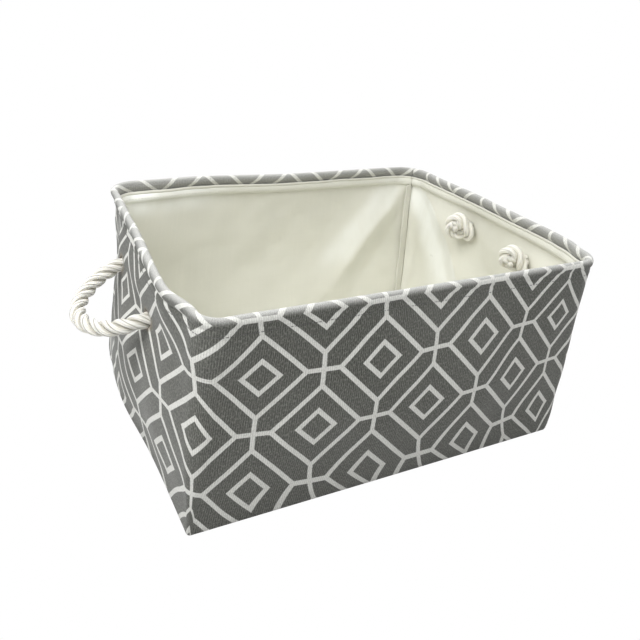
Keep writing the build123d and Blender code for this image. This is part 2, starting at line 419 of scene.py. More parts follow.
def printed_cloth():
    mat, tree, shader = new_material("printed_cloth")
    k = Nodes(tree)
    cloth = k.uv("cloth")
    i, j, _ = k.split(k.uv("print"))
    # Rows of concentric diamonds joined at their points by short bars.
    s = k.math("MULTIPLY", k.math("ADD", i, j), 0.5)
    t = k.math("MULTIPLY", k.math("SUBTRACT", i, j), 0.5)
    fs = k.math("SUBTRACT", k.math("FRACT", s), 0.5)
    ft = k.math("SUBTRACT", k.math("FRACT", t), 0.5)
    di = k.math("ABSOLUTE", k.math("ADD", fs, ft))
    dj = k.math("ABSOLUTE", k.math("SUBTRACT", fs, ft))

    def diamond(p, q):
        slope = math.hypot(1 / (p * PRINT_A), 1 / (q * PRINT_B))
        total = k.math("ADD", k.math("DIVIDE", di, p), k.math("DIVIDE", dj, q))
        return k.math("DIVIDE", k.math("ABSOLUTE", k.math("SUBTRACT", total, 1.0)), slope)

    def bar(along, across, along_mm, across_mm):
        short = k.math("MULTIPLY", k.math("SUBTRACT", 0.72, along), along_mm)
        return k.math("MAXIMUM", k.math("MULTIPLY", across, across_mm), short)

    line = k.math("MINIMUM", diamond(0.725, 0.72), diamond(0.30, 0.29))
    line = k.math("MINIMUM", line, bar(di, dj, PRINT_A, PRINT_B))
    line = k.math("MINIMUM", line, bar(dj, di, PRINT_B, PRINT_A))
    # Ink spreads a little along the ribs, so the edges of the lines are not quite even.
    rough_edge = k.noise(k.stretch(cloth, (1400.0, 620.0, 0.0)), 1.0, 2.0, 0.6)
    line = k.math("ADD", line, k.remap(rough_edge, 0.0, 1.0, -0.42, 0.42))
    ink = k.remap(line, 1.75, 2.35, 1.0, 0.0, smoothly=True)

    u, v, _ = k.split(cloth)
    # Fine upright ribs, with the picks crossing them.
    wander = k.noise(k.stretch(cloth, (160.0, 40.0, 0.0)), 1.0, 2.0, 0.5)
    rib_phase = k.math("ADD", k.math("MULTIPLY", u, 2 * math.pi / 0.0019), k.math("MULTIPLY", wander, 2.2))
    rib = k.remap(k.math("SINE", rib_phase), -1.0, 1.0, 0.0, 1.0)
    pick_phase = k.math("MULTIPLY", v, 2 * math.pi / 0.00074)
    pick = k.remap(k.math("SINE", k.math("ADD", pick_phase, k.math("MULTIPLY", rib_phase, 0.5))), -1.0, 1.0, 0.0, 1.0)
    slub = k.noise(k.stretch(cloth, (820.0, 95.0, 0.0)), 1.0, 3.0, 0.6)
    grain = k.noise(k.stretch(cloth, (1500.0, 1100.0, 0.0)), 1.0, 3.0, 0.65)
    fleck = k.noise(k.stretch(cloth, (860.0, 420.0, 0.0)), 1.0, 2.0, 0.55)
    height = k.math("ADD", k.math("MULTIPLY", rib, 0.75), k.math("MULTIPLY", pick, 0.25))
    height = k.math("ADD", height, k.math("MULTIPLY", grain, 0.5))

    ground = k.mix(k.remap(slub, 0.3, 0.7, 0.0, 1.0), (0.096, 0.099, 0.084, 1), (0.147, 0.150, 0.130, 1))
    ground = k.mix(k.remap(rib, 0.0, 1.0, 0.92, 0.0), ground, (0.045, 0.046, 0.041, 1))
    ground = k.mix(k.remap(grain, 0.52, 0.78, 0.0, 0.45), ground, (0.32, 0.32, 0.30, 1))
    # Thick and thin places in the yarn take the dye unevenly.
    ground = k.mix(k.remap(fleck, 0.47, 0.31, 0.0, 0.46), ground, (0.040, 0.041, 0.035, 1))
    ground = k.mix(k.remap(fleck, 0.50, 0.66, 0.0, 0.44), ground, (0.285, 0.29, 0.255, 1))
    # Painted highlight: the crest of the hem, and less strongly its inner side, are painted paler where light from
    # above catches the roll.
    painted_rim_highlight = k.math("MULTIPLY", k.remap(v, 0.1985, 0.2055, 0.0, 1.0, smoothly=True), k.remap(v, 0.2065, 0.2115, 1.0, 0.62, smoothly=True))
    painted_rim_highlight = k.math("MULTIPLY", painted_rim_highlight, k.remap(grain, 0.3, 0.7, 0.35, 1.0))
    ground = k.mix(painted_rim_highlight, ground, (0.60, 0.60, 0.58, 1))
    paste = k.mix(k.remap(grain, 0.35, 0.7, 0.0, 1.0), (0.70, 0.70, 0.66, 1), (0.90, 0.90, 0.86, 1))
    paste = k.mix(k.remap(rib, 0.0, 1.0, 0.36, 0.0), paste, (0.38, 0.38, 0.35, 1))
    paste = k.mix(k.remap(fleck, 0.48, 0.30, 0.0, 0.45), paste, (0.33, 0.33, 0.30, 1))
    cover = k.math("MULTIPLY", ink, k.remap(grain, 0.2, 0.36, 0.72, 1.0))
    colour = k.mix(cover, ground, paste)
    # The cloth round each rope hole is painted dark brown.
    hole_darkening = k.math("MULTIPLY", k.split(k.uv("hole"))[0], k.remap(grain, 0.3, 0.65, 0.45, 1.0))
    colour = k.mix(hole_darkening, colour, (0.235, 0.185, 0.115, 1))
    worn = k.noise(cloth, 9.0, 3.0, 0.5)
    colour = k.mix(k.remap(worn, 0.3, 0.75, 0.0, 0.10), colour, (0.40, 0.40, 0.38, 1))
    k.join(colour, shader.inputs["Base Color"])
    k.join(k.remap(grain, 0.2, 0.8, 0.78, 0.95), shader.inputs["Roughness"])
    shader.inputs["Specular IOR Level"].default_value = 0.25
    shader.inputs["Sheen Weight"].default_value = 0.22
    shader.inputs["Sheen Roughness"].default_value = 0.45
    k.join(k.bump(height, 0.55, 0.00035), shader.inputs["Normal"])
    return mat


def coated_lining(name="coated_lining", coat=0.25, tone=(0.752, 0.748, 0.664)):
    mat, tree, shader = new_material(name)
    k = Nodes(tree)
    cloth = k.uv("cloth")
    u, v, _ = k.split(cloth)
    # The weave shows faintly through the coating.
    warp = k.math("SINE", k.math("MULTIPLY", u, 2 * math.pi / 0.0011))
    weft = k.math("SINE", k.math("MULTIPLY", v, 2 * math.pi / 0.0011))
    weave = k.math("MULTIPLY", warp, weft)
    fine = k.noise(k.stretch(cloth, (700.0, 700.0, 0.0)), 1.0, 3.0, 0.6)
    pucker = k.noise(cloth, 46.0, 4.0, 0.55)
    cloudy = k.noise(cloth, 7.0, 3.0, 0.5)
    dark = tuple(c * 0.90 for c in tone) + (1,)
    colour = k.mix(k.remap(cloudy, 0.3, 0.7, 0.0, 1.0), dark, tone + (1,))
    colour = k.mix(k.remap(fine, 0.4, 0.8, 0.0, 0.25), colour, (0.74, 0.73, 0.64, 1))
    upright = k.noise(k.stretch(cloth, (420.0, 16.0, 0.0)), 1.0, 2.0, 0.6)
    level = k.noise(k.stretch(cloth, (16.0, 420.0, 0.0)), 1.0, 2.0, 0.6)
    colour = k.mix(k.remap(upright, 0.52, 0.74, 0.0, 0.16), colour, (0.80, 0.775, 0.70, 1))
    colour = k.mix(k.remap(level, 0.52, 0.74, 0.0, 0.16), colour, (0.66, 0.66, 0.575, 1))
    # Painted highlight: the coating is painted whiter along the folds and near the hem to stand in for glare, and is
    # made less rough there.
    streak = k.noise(k.stretch(cloth, (26.0, 9.0, 0.0)), 1.0, 3.0, 0.55)
    painted_glare = k.math("MULTIPLY", k.split(k.uv("painted_glare"))[0], k.remap(streak, 0.30, 0.62, 0.45, 1.0))
    colour = k.mix(painted_glare, colour, (0.94, 0.955, 0.92, 1))
    k.join(colour, shader.inputs["Base Color"])
    k.join(k.math("SUBTRACT", k.remap(pucker, 0.25, 0.75, 0.36, 0.52), k.math("MULTIPLY", painted_glare, 0.14)), shader.inputs["Roughness"])
    shader.inputs["Specular IOR Level"].default_value = 0.5
    shader.inputs["Coat Weight"].default_value = coat
    shader.inputs["Coat Roughness"].default_value = 0.22
    height = k.math("ADD", k.math("MULTIPLY", weave, 0.18), k.math("MULTIPLY", fine, 0.5))
    first = k.bump(pucker, 0.35, 0.0012)
    k.join(k.bump(height, 0.35, 0.00022, first), shader.inputs["Normal"])
    return mat


def cotton_rope(name="cotton_rope", painted_groove_shade=0.62, groove_shade_colour=(0.42, 0.40, 0.33)):
    mat, tree, shader = new_material(name)
    k = Nodes(tree)
    strand = k.uv("strand")
    u, v, _ = k.split(strand)
    # Yarns lie at a slant round each strand.
    slant = k.math("ADD", k.math("MULTIPLY", u, 2 * math.pi * 9), k.math("MULTIPLY", v, 2 * math.pi / 0.0125))
    yarn = k.remap(k.math("SINE", slant), -1.0, 1.0, 0.0, 1.0)
    fibre = k.noise(k.stretch(strand, (90.0, 420.0, 0.0)), 1.0, 4.0, 0.65)
    tuft = k.noise(k.stretch(strand, (14.0, 90.0, 0.0)), 1.0, 3.0, 0.5)
    colour = k.mix(k.remap(yarn, 0.0, 1.0, 0.0, 1.0), (0.78, 0.76, 0.685, 1), (0.92, 0.91, 0.86, 1))
    colour = k.mix(k.remap(fibre, 0.35, 0.7, 0.0, 0.5), colour, (0.95, 0.94, 0.90, 1))
    colour = k.mix(k.remap(tuft, 0.35, 0.65, 0.0, 0.35), colour, (0.80, 0.78, 0.70, 1))
    # Painted shade: the grooves between the strands are painted darker.
    facing = k.math("COSINE", k.math("MULTIPLY", u, 2 * math.pi))
    colour = k.mix(k.remap(facing, -0.1, 0.48, painted_groove_shade, 0.0, smoothly=True), colour, groove_shade_colour + (1,))
    k.join(colour, shader.inputs["Base Color"])
    k.join(k.remap(fibre, 0.2, 0.8, 0.75, 0.95), shader.inputs["Roughness"])
    shader.inputs["Specular IOR Level"].default_value = 0.2
    shader.inputs["Sheen Weight"].default_value = 0.2
    shader.inputs["Sheen Roughness"].default_value = 0.5
    shader.inputs["Subsurface Weight"].default_value = 0.08
    shader.inputs["Subsurface Radius"].default_value = (0.002, 0.0016, 0.001)
    height = k.math("ADD", k.math("MULTIPLY", yarn, 0.8), k.math("MULTIPLY", fibre, 0.7))
    k.join(k.bump(height, 0.75, 0.0006), shader.inputs["Normal"])
    return mat


def sewing_thread(name, light, dark):
    mat, tree, shader = new_material(name)
    k = Nodes(tree)
    strand = k.uv("strand")
    u, v, _ = k.split(strand)
    twist = k.math("ADD", k.math("MULTIPLY", u, 2 * math.pi * 2), k.math("MULTIPLY", v, 2 * math.pi / 0.0009))
    ply = k.remap(k.math("SINE", twist), -1.0, 1.0, 0.0, 1.0)
    k.join(k.mix(ply, dark + (1,), light + (1,)), shader.inputs["Base Color"])
    k.join(k.remap(ply, 0.0, 1.0, 0.7, 0.5), shader.inputs["Roughness"])
    shader.inputs["Sheen Weight"].default_value = 0.3
    k.join(k.bump(ply, 0.6, 0.0001), shader.inputs["Normal"])
    return mat


def spring_wire():
    mat, tree, shader = new_material("spring_wire")
    k = Nodes(tree)
    place = k.add("ShaderNodeTexCoord").outputs["Object"]
    drawn = k.noise(k.stretch(place, (40.0, 40.0, 2600.0)), 1.0, 3.0, 0.6)
    spots = k.noise(place, 220.0, 3.0, 0.6)
    colour = k.mix(k.remap(spots, 0.45, 0.75, 0.0, 0.6), (0.52, 0.51, 0.50, 1), (0.34, 0.32, 0.29, 1))
    k.join(colour, shader.inputs["Base Color"])
    shader.inputs["Metallic"].default_value = 1.0
    k.join(k.remap(drawn, 0.2, 0.8, 0.28, 0.48), shader.inputs["Roughness"])
    k.join(k.bump(drawn, 0.25, 0.0001), shader.inputs["Normal"])
    return mat


CLOTH_MAT = printed_cloth()
LINING_MAT = coated_lining()
EDGE_MAT = coated_lining("cut_edge", 0.1, (0.69, 0.685, 0.61))
ROPE_MAT = cotton_rope()
KNOT_MAT = cotton_rope("knotted_rope", 0.30, (0.56, 0.53, 0.43))
THREAD_MAT = sewing_thread("sewing_thread", (0.13, 0.13, 0.122), (0.075, 0.075, 0.07))
SEAM_THREAD_MAT = sewing_thread("seam_thread", (0.80, 0.79, 0.72), (0.55, 0.54, 0.48))
WIRE_MAT = spring_wire()

# ---------------------------------------------------------------- printed cloth: wall and hem in one sheet
wall_rows = [(0.35, 9.0), (0.3, 5.0), (0.35, 2.6), (0.7, 1.1), (1.5, 0.35), (2.8, 0.05)]
wall_rows += [(z, 0.0) for z in np.arange(5.0, 179.5, 3.04)]
hem_rows = [
    (181.0, 0.0), (183.5, 0.0), (186.0, 0.0), (187.8, 0.06), (188.6, 0.16), (189.2, 0.24), (189.8, 0.16),
    (190.8, 0.05), (192.2, 0.05), (193.4, 0.15), (194.3, 0.3), (195.1, 0.2), (196.1, -0.2), (197.4, -0.65),
    (198.9, -0.85), (200.5, -0.65), (201.9, 0.05), (203.0, 1.15), (203.65, 2.5), (203.75, 3.9), (203.2, 5.2),
    (202.2, 6.25), (200.8, 6.9), (199.2, 7.05), (197.6, 6.75), (196.2, 6.1), (194.9, 5.3), (193.5, 4.5),
    (192.0, 3.8), (190.5, 3.3), (189.0, 3.0), (187.4, 2.9),
]
HEM_TOP = 19
profile = wall_rows + hem_rows
rows_z = [p[0] for p in profile]


CREASE = {"front": 0.05, "left": 1.0, "back": 0.5, "right": 0.5}


def hem_pucker(c, z):
    """The roll swells unevenly over the wire, and the cloth tucks in under it on the sides."""
    at = np.arange(len(z))
    inside = at > len(wall_rows) + HEM_TOP
    lift = smooth(194, 197, z) * 0.16 * soft_noise(U[c], 0 * z + 40 * inside, 9.0, 11)
    lift = lift + smooth(188, 197, z) * 0.35 * soft_noise(U[c], 0 * z + 80, 34.0, 12)
    kind, which, f = columns[c]
    if kind == "corner":
        low, high = {0: ("right", "back"), 1: ("back", "left"), 2: ("left", "front"), 3: ("front", "right")}[which]
        deep = CREASE[low] * (1 - f) + CREASE[high] * f
    else:
        deep = CREASE[which]
    tuck = deep * bell(z, 194.4, 1.5) * ~inside
    return np.where(inside, -lift, lift) - tuck


def seam_dip(c, z):
    """The upright seam pulls the cloth in at the back-right corner."""
    edge = min(abs(U[c] - U[0]), abs(U[-1] - U[c]))
    return -1.4 * math.exp(-((edge / 3.0) ** 2)) * (1 - smooth(180, 192, z))


cloth_points = sheet_grid(profile, lambda c, z: hem_pucker(c, z) + seam_dip(c, z))
profile_len = np.concatenate(
    [[0], np.cumsum(np.hypot(np.diff([p[0] for p in profile]), np.diff([p[1] for p in profile])))]
)
V = profile_len - profile_len[len(wall_rows)] + 181.0
flat = np.zeros((len(profile), N_COL, 2))
flat[:, :, 0] = U[None, :]
flat[:, :, 1] = V[:, None]
wall_part = np.array(rows_z) * (np.arange(len(profile)) < len(wall_rows)) + 999 * (np.arange(len(profile)) >= len(wall_rows))
gone = open_holes(cloth_points, flat, wall_part, HOLE_R)
faces = [
    f
    for r in range(len(profile) - 1)
    for c in range(N_COL - 1)
    if (r, c) not in gone
    for f in [(r * N_COL + c, r * N_COL + c + 1, (r + 1) * N_COL + c + 1, (r + 1) * N_COL + c)]
]


def print_place(u, v):
    """Where a point of the cloth lies in the print, in half periods; the sewn cloth is pulled a little out of true on the front."""
    x, y = u / 200 - 0.9, (v - 100) / 100
    i = 1.501 + 0.0278 * y - 0.2104 * y**2 + 0.1896 * y**3 + 3.8193 * x - 0.0723 * x * y
    i = i - 0.1852 * x * y**2 + 0.1386 * x**2 - 0.0432 * x**2 * y + 0.1895 * x**3
    j = -0.8548 + 1.7681 * y + 0.2263 * y**2 - 0.1405 * y**3 - 0.0226 * x - 0.0448 * x * y
    j = j + 0.014 * x * y**2 - 0.2189 * x**2 + 0.1835 * x**2 * y + 0.0793 * x**3
    p, q = np.clip(u, -230, 60) / 100, (v - 110) / 100
    i_left = -1.9627 + u / 53.5 - 0.0788 * p + 0.1277 * q + 0.0671 * p**2 + 0.0722 * p * q + 0.0994 * q**2
    i_left = i_left + 0.0212 * p**3 - 0.0457 * p**2 * q - 0.0853 * p * q**2 + 0.0373 * q**3
    j_left = (v - 155) / 52.0 - 0.0192 + 0.0503 * p + 0.0148 * q + 0.1405 * p**2 - 0.0285 * p * q + 0.2312 * q**2
    j_left = j_left + 0.027 * p**3 - 0.0506 * p**2 * q - 0.0305 * p * q**2 - 0.023 * q**3
    j_left = j_left - 0.26 * (1 - smooth(5, 45, v)) * smooth(-70, -5, u)
    back_ = 1 - smooth(-400, -262, u)
    i_left = i_left * (1 - back_) + (-1.685 + u / 53.5) * back_
    j_left = j_left * (1 - back_) + ((v - 155) / 52.0 + 0.36) * back_
    left = 1 - smooth(-20, 40, u)
    right_ = smooth(345, 400, u)
    front_ = 1 - left - right_
    i = i * front_ + i_left * left + (5.46 + (u - 372) / 53.0) * right_
    j = j * front_ + j_left * left + ((v - 150) / 53.0) * right_
    return i, j


pi_, pj_ = print_place(flat[:, :, 0], flat[:, :, 1])
hole_edge = np.zeros(cloth_points.shape[:2])
for (side_name, end), (hole_y, hole_z) in HOLES.items():
    away = np.hypot(cloth_points[:, :, 1] - hole_y, cloth_points[:, :, 2] - hole_z)
    on_side = (cloth_points[:, :, 0] < -150) if side_name == "left" else (cloth_points[:, :, 0] > 150)
    hole_edge = np.maximum(hole_edge, 0.85 * (1 - smooth(HOLE_R + 1.6, HOLE_R + 4.4, away)) * on_side)
wall = mesh_object(
    "wall_cloth_sewn",
    cloth_points.reshape(-1, 3) * MM,
    faces,
    {
        "cloth": flat.reshape(-1, 2) * MM,
        "print": np.stack([pi_, pj_], 2).reshape(-1, 2),
        "hole": np.stack([hole_edge, 0 * hole_edge], 2).reshape(-1, 2),
    },
    CLOTH_MAT,
)
thicken(wall, CLOTH * MM)
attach(wall, "bin")
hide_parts("wall_cloth")

# ---------------------------------------------------------------- folded top edge of the lining, lapping over the hem inside
edge_rows = [
    (189.2, 5.0), (189.8, 5.8), (190.5, 6.45), (191.3, 6.8), (192.1, 6.8), (192.8, 6.5), (193.2, 6.0), (193.2, 5.5), (192.8, 5.1), (192.1, 4.8)
]


def edge_wave(c, z):
    return -0.18 * soft_noise(U[c], 0 * z, 14.0, 21) - 0.12 * soft_noise(U[c], 0 * z, 5.0, 22)


edge_points = sheet_grid(edge_rows, edge_wave)
edge_points[:, :, 2] += (0.35 * soft_noise(U, 0 * U, 22.0, 23) + 0.15 * soft_noise(U, 0 * U, 5.0, 24))[None, :]
edge_flat = np.stack(np.meshgrid(U, [p[0] for p in edge_rows]), 2)
lining_edge = mesh_object(
    "lining_folded_edge",
    edge_points.reshape(-1, 3) * MM,
    [f[::-1] for f in grid_faces(len(edge_rows), N_COL)],
    {"cloth": edge_flat.reshape(-1, 2) * MM},
    EDGE_MAT,
)
thicken(lining_edge, 0.4 * MM, -1.0)
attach(lining_edge, "bin")

# ---------------------------------------------------------------- lining of the walls
# Folds that fan out from the back-right corner: crest points (round the wall, height), height of the crest, reach to either side.
CREASES = (
    (((-672.0, 181.0), (-654.4, 157.0), (-631.5, 135.7), (-614.3, 114.4), (-591.4, 81.0), (-566.0, 44.0)), 10.5, 30.0, 52.0),
    (((674.0, 181.0), (657.9, 172.2), (634.4, 160.0), (605.1, 132.7), (590.5, 105.3), (575.8, 81.0), (566.0, 50.0)), 8.0, 24.0, 46.0),
)


def crest_height(u, z, crest, deep, above, below):
    """Height of one fold: a rounded crest with its own slope on each side."""
    best, reach, side = np.full(z.shape, 1e9), np.zeros(z.shape), np.zeros(z.shape)
    run = [0.0]
    for (u0, z0), (u1, z1) in zip(crest, crest[1:]):
        run.append(run[-1] + math.hypot(u1 - u0, z1 - z0))
    for n_, ((u0, z0), (u1, z1)) in enumerate(zip(crest, crest[1:])):
        du, dz = u1 - u0, z1 - z0
        t = np.clip(((u - u0) * du + (z - z0) * dz) / (du * du + dz * dz), 0, 1)
        d = np.hypot(u - u0 - t * du, z - z0 - t * dz)
        near = d < best
        best = np.where(near, d, best)
        reach = np.where(near, (run[n_] + t * (run[n_ + 1] - run[n_])) / run[-1], reach)
        side = np.where(near, np.sign((u - u0) * dz - (z - z0) * du) * np.sign(-dz * (1 if du > 0 else -1)), side)
    width = np.where(side >= 0, above, below) * (0.35 + 0.65 * smooth(0.0, 0.45, reach))
    d = np.sqrt(best**2 + 4.0) - 2.0
    profile_ = np.clip(1 - d / width, 0, 1) ** 1.25
    return deep * profile_ * (0.18 + 0.82 * smooth(0.0, 0.4, reach)) * (1 - 0.6 * smooth(0.75, 1.0, reach))


def lining_shape(c, z):
    """Soft folds that stand in from the wall, mm, taken as outwards negative."""
    u = U[c]
    base = 0.8 + 0.8 * soft_noise(u, z, 38.0, 31) + 0.5 * soft_noise(u, z, 16.0, 32)
    total = np.maximum(base, 0.0)
    for crest, deep, above, below in CREASES:
        total = total + crest_height(u, z, crest, deep, above, below)
    return -total * smooth(3, 25, z) * (1 - 0.9 * smooth(174, 188, z))


lining_profile = [(2.0, 2.6), (3.0, 2.4)] + [(z, 2.3) for z in np.arange(5.0, 178.0, 3.04)] + [
    (179.6, 2.6), (180.4, 3.2), (181.2, 4.2), (182.0, 5.2), (182.9, 6.0), (183.9, 6.55), (185.0, 6.85), (186.1, 6.95), (187.2, 6.9),
    (188.2, 6.75), (189.1, 6.5), (190.0, 6.15), (190.8, 5.75), (191.6, 5.35)
]
lining_points = sheet_grid(lining_profile, lining_shape)
lining_flat = np.stack(np.meshgrid(U, [p[0] for p in lining_profile]), 2).astype(float)
gone = open_holes(lining_points, lining_flat, [p[0] for p in lining_profile], HOLE_R)
faces = [
    (r * N_COL + c, (r + 1) * N_COL + c, (r + 1) * N_COL + c + 1, r * N_COL + c + 1)
    for r in range(len(lining_profile) - 1)
    for c in range(N_COL - 1)
    if (r, c) not in gone
]


def painted_glare_at(u, z):
    """How strongly glare is painted onto the coating as a whiter tone: on the upper side of the back fold, the corner
    side of the right one, and along the hem.
    """
    (back_crest, *_), (right_crest, *_) = CREASES
    z_back, z_right = [p[1] for p in back_crest[::-1]], [p[1] for p in right_crest[::-1]]
    off_back = u - np.interp(z, z_back, [p[0] for p in back_crest[::-1]])
    off_right = u - np.interp(z, z_right, [p[0] for p in right_crest[::-1]])
    below_hem = 1 - 0.6 * smooth(172, 182, z)
    m = 0.66 * smooth(-1, 8, off_back) * (1 - smooth(28, 52, off_back)) * smooth(52, 105, z) * below_hem * (u < 0)
    m = np.maximum(m, 0.9 * smooth(-2, 4, off_right) * (1 - smooth(44, 78, off_right)) * smooth(36, 84, z) * below_hem * (u > 500))
    hem_left = smooth(158, 177, z) * smooth(-450, -340, u) * (1 - smooth(-306, -290, u))
    m = np.maximum(m, 0.95 * hem_left)
    return np.maximum(m, 0.10 * smooth(177, 184, z))


painted_glare = painted_glare_at(lining_flat[:, :, 0], lining_flat[:, :, 1])
wall_lining = mesh_object(
    "wall_lining_sewn",
    lining_points.reshape(-1, 3) * MM,
    faces,
    {"cloth": lining_flat.reshape(-1, 2) * MM, "painted_glare": np.stack([painted_glare, 0 * painted_glare], 2).reshape(-1, 2)},
    LINING_MAT,
)
thicken(wall_lining, LINING * MM)
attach(wall_lining, "bin")
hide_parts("wall_lining")


# ---------------------------------------------------------------- bottom panel and its lining
def floor_grid(hx, hy, r, nx, ny):
    x, y = np.meshgrid(np.linspace(-hx, hx, nx), np.linspace(-hy, hy, ny))
    px, py = (np.abs(x) - (hx - r)) / r, (np.abs(y) - (hy - r)) / r
    corner = (px > 0) & (py > 0)
    qx, qy = px * np.sqrt(np.maximum(1 - py**2 / 2, 0)), py * np.sqrt(np.maximum(1 - px**2 / 2, 0))
    x = np.where(corner, np.sign(x) * (hx - r + qx * r), x)
    y = np.where(corner, np.sign(y) * (hy - r + qy * r), y)
    # The left edge follows the foot of the wall.
    x = x - left_foot(np.clip((132.2 - y) / 273.6, 0, 1)) * smooth(110, 188, -x)
    return x, y


x, y = floor_grid(190.5, 136.5, 5.0, 120, 90)
z = 0.25 + 0.22 * soft_noise(x, y, 45, 41)
base = mesh_object(
    "base_cloth_sewn",
    np.stack([x, y, z], 2).reshape(-1, 3) * MM,
    [f[::-1] for f in grid_faces(90, 120)],
    {
        "cloth": np.stack([x, y], 2).reshape(-1, 2) * MM,
        "print": np.stack([x / PRINT_A, y / PRINT_B], 2).reshape(-1, 2),
    },
    CLOTH_MAT,
)
thicken(base, 0.8 * MM, -1.0)
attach(base, "bin")
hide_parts("base_cloth")

x, y = floor_grid(197.2, 143.2, 5.0, 130, 96)
away = np.minimum(197.2 - np.abs(x), 143.2 - np.abs(y))
z = 2.0 + smooth(2, 30, away) * (1.3 + 1.1 * soft_noise(x, y, 60, 42) + 0.5 * soft_noise(x, y, 24, 43))
base_lining = mesh_object(
    "base_lining_sewn",
    np.stack([x, y, z], 2).reshape(-1, 3) * MM,
    grid_faces(96, 130),
    {"cloth": np.stack([x, y], 2).reshape(-1, 2) * MM},
    LINING_MAT,
)
thicken(base_lining, LINING * MM, -1.0)
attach(base_lining, "bin")
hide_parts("base_lining")

# ---------------------------------------------------------------- turned-in edges of the bottom seam
seam_rows = [(2.6, 3.6), (4.0, 3.6), (5.5, 3.7), (7.0, 3.9), (8.5, 4.2), (9.7, 4.5)]


def seam_wave(c, z):
    up_ = smooth(3, 10, z)
    return -up_ * (0.7 + 0.9 * soft_noise(U[c], 0 * z, 16.0, 51) + 0.4 * soft_noise(U[c], 0 * z, 6.0, 52))


seam_points = sheet_grid(seam_rows, seam_wave)
seam_points[:, :, 2] += (0.5 * soft_noise(U, 0 * U, 12.0, 53))[None, :] * np.linspace(0, 1, len(seam_rows))[:, None]
seam_flat = np.stack(np.meshgrid(U, [p[0] for p in seam_rows]), 2)
base_seam = mesh_object(
    "base_seam_edges",
    seam_points.reshape(-1, 3) * MM,
    [f[::-1] for f in grid_faces(len(seam_rows), N_COL)],
    {"cloth": seam_flat.reshape(-1, 2) * MM},
    EDGE_MAT,
)
thicken(base_seam, 1.1 * MM, -1.0)
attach(base_seam, "bin")
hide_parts("base_seam_allowance")


# ---------------------------------------------------------------- stitches
def tube(points, radius, sides, closed_ends=True, taper=None):
    """Round tube along points; returns vertices, faces and (turn, length) of each vertex."""
    points = np.asarray(points, float)
    n = len(points)
    tangent = np.gradient(points, axis=0)
    tangent /= np.linalg.norm(tangent, axis=1)[:, None]
    first = np.cross(tangent[0], (0.31, 0.17, 0.93))
    first /= np.linalg.norm(first)
    normals = [first]
    for a in range(1, n):
        m = normals[-1] - tangent[a] * np.dot(normals[-1], tangent[a])
        normals.append(m / np.linalg.norm(m))
    normals = np.array(normals)
    other = np.cross(tangent, normals)
    angle = np.linspace(0, 2 * np.pi, sides, endpoint=False)
    size = np.full(n, radius) if taper is None else radius * taper
    verts = points[:, None] + size[:, None, None] * (
        np.cos(angle)[None, :, None] * normals[:, None] + np.sin(angle)[None, :, None] * other[:, None]
    )
    run = np.concatenate([[0], np.cumsum(np.linalg.norm(np.diff(points, axis=0), axis=1))])
    uv = np.stack(np.broadcast_arrays(angle[None, :] / (2 * np.pi), run[:, None]), 2)
    quads = []
    for a in range(n - 1):
        for b in range(sides):
            d = (b + 1) % sides
            quads.append((a * sides + b, a * sides + d, (a + 1) * sides + d, (a + 1) * sides + b))
    if closed_ends:
        quads.append(tuple(range(sides))[::-1])
        quads.append(tuple((n - 1) * sides + b for b in range(sides)))
    return verts.reshape(-1, 3), quads, uv.reshape(-1, 2)


def stitch_row(name, line, out, pitch, length, radius, material, node, sink):
    """Row of separate stitches along a line of points (mm); out is the way off the cloth at each."""
    line, out = np.asarray(line, float), np.asarray(out, float)
    run = np.concatenate([[0], np.cumsum(np.linalg.norm(np.diff(line, axis=0), axis=1))])
    count = int(run[-1] // pitch)
    verts, quads, uvs = [], [], []
    total = 0
    for q in range(count):
        s = (q + 0.5) * run[-1] / count + np.linspace(-0.5, 0.5, 7) * length
        p = np.stack([np.interp(s, run, line[:, k]) for k in range(3)], 1)
        o = np.stack([np.interp(s, run, out[:, k]) for k in range(3)], 1)
        arch = 1 - np.linspace(-1, 1, 7) ** 4
        p = p + o * (arch * (radius + sink) - sink)[:, None]
        v, f, w = tube(p, radius, 6)
        verts.append(v)
        uvs.append(w + (0, q * 0.37))
        quads += [tuple(total + x for x in g) for g in f]
        total += len(v)
    obj = mesh_object(name, np.concatenate(verts) * MM, quads, {"strand": np.concatenate(uvs) * (1, MM)}, material)
    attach(obj, "bin")
    if node:
        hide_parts(node)
    return obj


def row_near(rows, z, n_low=-99, n_high=99, start=0):
    return min(range(start, len(rows)), key=lambda r: abs(rows[r][0] - z) + (0 if n_low <= rows[r][1] <= n_high else 99))


def outward(points):
    """Level way out of the wall at each column."""
    t = np.gradient(points, axis=0)
    o = np.stack([t[:, 1], -t[:, 0], 0 * t[:, 0]], 1)
    return o / np.linalg.norm(o, axis=1)[:, None]


outer_row = len(wall_rows) + 5
inner_row = min(range(len(lining_profile)), key=lambda r: abs(lining_profile[r][0] - 186.1))
line = cloth_points[outer_row]
stitch_row("hem_stitches_outside", line, outward(line), 3.4, 2.4, 0.26, THREAD_MAT, "hem_stitching", 0.3)
line = lining_points[inner_row]
stitch_row("hem_stitches_inside", line, -outward(line), 3.4, 2.6, 0.24, SEAM_THREAD_MAT, "hem_stitching", 0.3)
line = seam_points[2]
stitch_row("base_seam_stitches", line, -outward(line), 4.4, 3.3, 0.3, SEAM_THREAD_MAT, "base_seam_stitching", 0.3)

